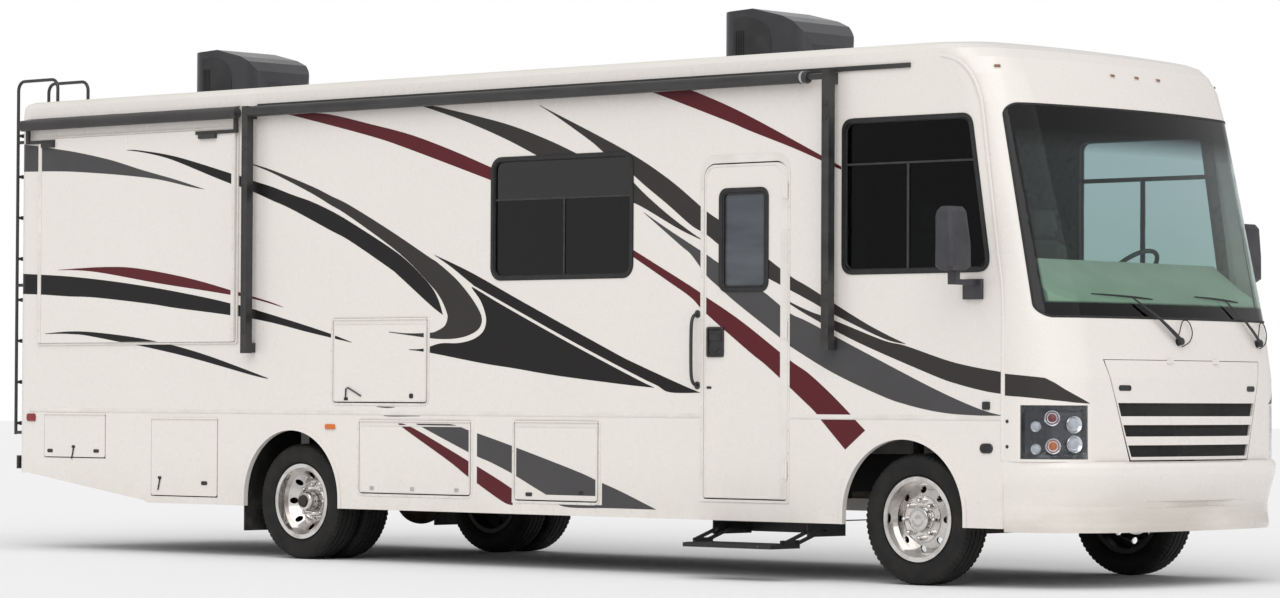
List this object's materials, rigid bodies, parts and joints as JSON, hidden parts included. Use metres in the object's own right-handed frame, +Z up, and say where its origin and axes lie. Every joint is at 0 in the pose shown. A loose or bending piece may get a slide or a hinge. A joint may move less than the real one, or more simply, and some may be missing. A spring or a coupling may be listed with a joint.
{
  "type": "motorhome",
  "caption": "Flat-fronted motorhome with a rear slide-out room, roof air conditioners, side awning, entry step, ladder, luggage bays and swoosh stripes.",
  "frame": {"origin": "on the ground at the middle of the overall length and width", "axes": "+X forward towards the windshield, +Y to the vehicle's left, +Z up"},
  "size_m": [10.1298, 3.4, 3.8048],
  "materials": {
    "body_paint": "glossy gel coat and paint, warm off-white with swoosh stripes",
    "frame_paint": "semi-gloss black frame paint",
    "engine_iron": "painted cast iron",
    "tank_plastic": "blow-moulded black",
    "exhaust_steel": "aluminised steel",
    "black_aluminium": "black powder coat",
    "floor_board": "plywood deck",
    "locker_plastic": "rotomoulded",
    "windshield_glass": "green-tinted laminated glass",
    "tinted_glass": "dark safety glass",
    "lamp_lens": "clear moulded lens",
    "window_frame": "black anodised",
    "black_plastic": "textured black",
    "charcoal_plastic": "moulded charcoal shroud",
    "black_rubber": "moulded rubber",
    "dash_plastic": "soft-touch dashboard skin",
    "seat_cloth": "upholstery",
    "dark_plastic": "moulded",
    "tyre_rubber": "black tyre rubber",
    "wheel_chrome": "polished steel wheel covers"
  },
  "bodies": {
    "coach": {"chassis_frame": "frame_paint", "front_axle": "frame_paint", "rear_axle": "frame_paint", "leaf_springs": "frame_paint", "drive_shaft": "frame_paint", "engine_block": "engine_iron", "fuel_tank": "tank_plastic", "exhaust": "exhaust_steel", "floor_deck": "floor_board", "basement_lockers": "locker_plastic", "right_side_wall": "body_paint", "left_side_wall": "body_paint", "right_skirt": "body_paint", "left_skirt": "body_paint", "rear_cap": "body_paint", "roof": "body_paint", "front_cap": "body_paint", "front_bumper": "body_paint", "rear_bumper": "body_paint", "windshield": "windshield_glass", "headlamp_lenses": "lamp_lens", "window_frames": "window_frame", "window_glass": "tinted_glass", "side_mirrors": "black_plastic", "roof_air_conditioners": "charcoal_plastic", "ladder": "black_aluminium", "awning_roller": "black_aluminium", "awning_arms": "black_aluminium", "dashboard": "dash_plastic", "cab_seats": "seat_cloth", "steering_wheel": "dark_plastic", "step_housing": "frame_paint", "mud_flaps": "black_rubber", "grab_handle": "black_plastic"},
    "right_knuckle": {"right_knuckle": "frame_paint"},
    "left_knuckle": {"left_knuckle": "frame_paint"},
    "front_right_wheel": {"front_right_tyre": "tyre_rubber", "front_right_rim": "wheel_chrome"},
    "front_left_wheel": {"front_left_tyre": "tyre_rubber", "front_left_rim": "wheel_chrome"},
    "rear_right_wheels": {"rear_right_tyres": "tyre_rubber", "rear_right_rims": "wheel_chrome"},
    "rear_left_wheels": {"rear_left_tyres": "tyre_rubber", "rear_left_rims": "wheel_chrome"},
    "entry_door": {"entry_door": "body_paint", "entry_door_window": "tinted_glass"},
    "slide_room": {"slide_room": "body_paint", "slide_topper": "black_aluminium"},
    "service_hatch": {"service_hatch": "body_paint"},
    "step_outer_arms": {"step_outer_arms": "black_aluminium"},
    "step_inner_arms": {"step_inner_arms": "black_aluminium"},
    "step_tread": {"step_tread": "black_aluminium"},
    "right_rear_bay_door": {"right_rear_bay_door": "body_paint"},
    "right_tail_bay_door": {"right_tail_bay_door": "body_paint"},
    "right_mid_bay_door": {"right_mid_bay_door": "body_paint"},
    "right_front_bay_door": {"right_front_bay_door": "body_paint"},
    "left_mid_bay_door": {"left_mid_bay_door": "body_paint"},
    "left_front_bay_door": {"left_front_bay_door": "body_paint"},
    "appliance_door": {"appliance_door": "body_paint"}
  },
  "joints": [
    {"name": "right_steer", "type": "hinge", "parent": "coach", "child": "right_knuckle", "pos_m": [3.725, -0.945, 0.412], "axis": [0, 0, 1], "range_deg": [-38, 38]},
    {"name": "front_right_roll", "type": "hinge", "parent": "right_knuckle", "child": "front_right_wheel", "pos_m": [3.725, -1.1175, 0.412], "axis": [0, 1, 0], "continuous": true},
    {"name": "rear_right_roll", "type": "hinge", "parent": "coach", "child": "rear_right_wheels", "pos_m": [-1.852, -0.975, 0.412], "axis": [0, 1, 0], "continuous": true},
    {"name": "left_steer", "type": "hinge", "parent": "coach", "child": "left_knuckle", "pos_m": [3.725, 0.945, 0.412], "axis": [0, 0, 1], "range_deg": [-38, 38]},
    {"name": "front_left_roll", "type": "hinge", "parent": "left_knuckle", "child": "front_left_wheel", "pos_m": [3.725, 1.1175, 0.412], "axis": [0, 1, 0], "continuous": true},
    {"name": "rear_left_roll", "type": "hinge", "parent": "coach", "child": "rear_left_wheels", "pos_m": [-1.852, 0.975, 0.412], "axis": [0, 1, 0], "continuous": true},
    {"name": "entry_door_hinge", "type": "hinge", "parent": "coach", "child": "entry_door", "pos_m": [2.718, -1.291, 1.6], "axis": [0, 0, 1], "range_deg": [0, 100]},
    {"name": "slide_out", "type": "slide", "parent": "coach", "child": "slide_room", "axis": [0, -1, 0], "range_m": [0, 0.6]},
    {"name": "right_rear_bay_door_hinge", "type": "hinge", "parent": "coach", "child": "right_rear_bay_door", "pos_m": [-4.2515, -1.29, 1.02], "axis": [-1, 0, 0], "range_deg": [0, 95]},
    {"name": "right_tail_bay_door_hinge", "type": "hinge", "parent": "coach", "child": "right_tail_bay_door", "pos_m": [-3.0235, -1.29, 0.995], "axis": [-1, 0, 0], "range_deg": [0, 95]},
    {"name": "right_mid_bay_door_hinge", "type": "hinge", "parent": "coach", "child": "right_mid_bay_door", "pos_m": [-0.6445, -1.29, 0.992], "axis": [-1, 0, 0], "range_deg": [0, 95]},
    {"name": "right_front_bay_door_hinge", "type": "hinge", "parent": "coach", "child": "right_front_bay_door", "pos_m": [0.7, -1.29, 0.998], "axis": [-1, 0, 0], "range_deg": [0, 95]},
    {"name": "left_mid_bay_door_hinge", "type": "hinge", "parent": "coach", "child": "left_mid_bay_door", "pos_m": [-0.6445, 1.29, 0.992], "axis": [1, 0, 0], "range_deg": [0, 95]},
    {"name": "left_front_bay_door_hinge", "type": "hinge", "parent": "coach", "child": "left_front_bay_door", "pos_m": [0.7, 1.29, 0.998], "axis": [1, 0, 0], "range_deg": [0, 95]},
    {"name": "appliance_door_hinge", "type": "hinge", "parent": "coach", "child": "appliance_door", "pos_m": [-0.9925, -1.29, 1.704], "axis": [-1, 0, 0], "range_deg": [0, 95]},
    {"name": "service_hatch_hinge", "type": "hinge", "parent": "coach", "child": "service_hatch", "pos_m": [4.96465, 0, 1.413], "axis": [0, -1, 0], "range_deg": [0, 65]},
    {"name": "step_fold", "type": "hinge", "parent": "coach", "child": "step_outer_arms", "pos_m": [2.48, -1.235, 0.318], "axis": [1, 0, 0], "range_deg": [0, 150]},
    {"name": "step_inner_fold", "type": "hinge", "parent": "coach", "child": "step_inner_arms", "pos_m": [2.48, -1.095, 0.318], "axis": [1, 0, 0], "range_deg": [0, 150]},
    {"name": "step_tread_level", "type": "hinge", "parent": "step_outer_arms", "child": "step_tread", "pos_m": [2.48, -1.46456, 0.248], "axis": [1, 0, 0], "range_deg": [-150, 0]}
  ],
  "couplings": [
    {"joint": "left_steer", "follows": "right_steer", "ratio": 1},
    {"joint": "step_inner_fold", "follows": "step_fold", "ratio": 1},
    {"joint": "step_tread_level", "follows": "step_fold", "ratio": -1}
  ]
}
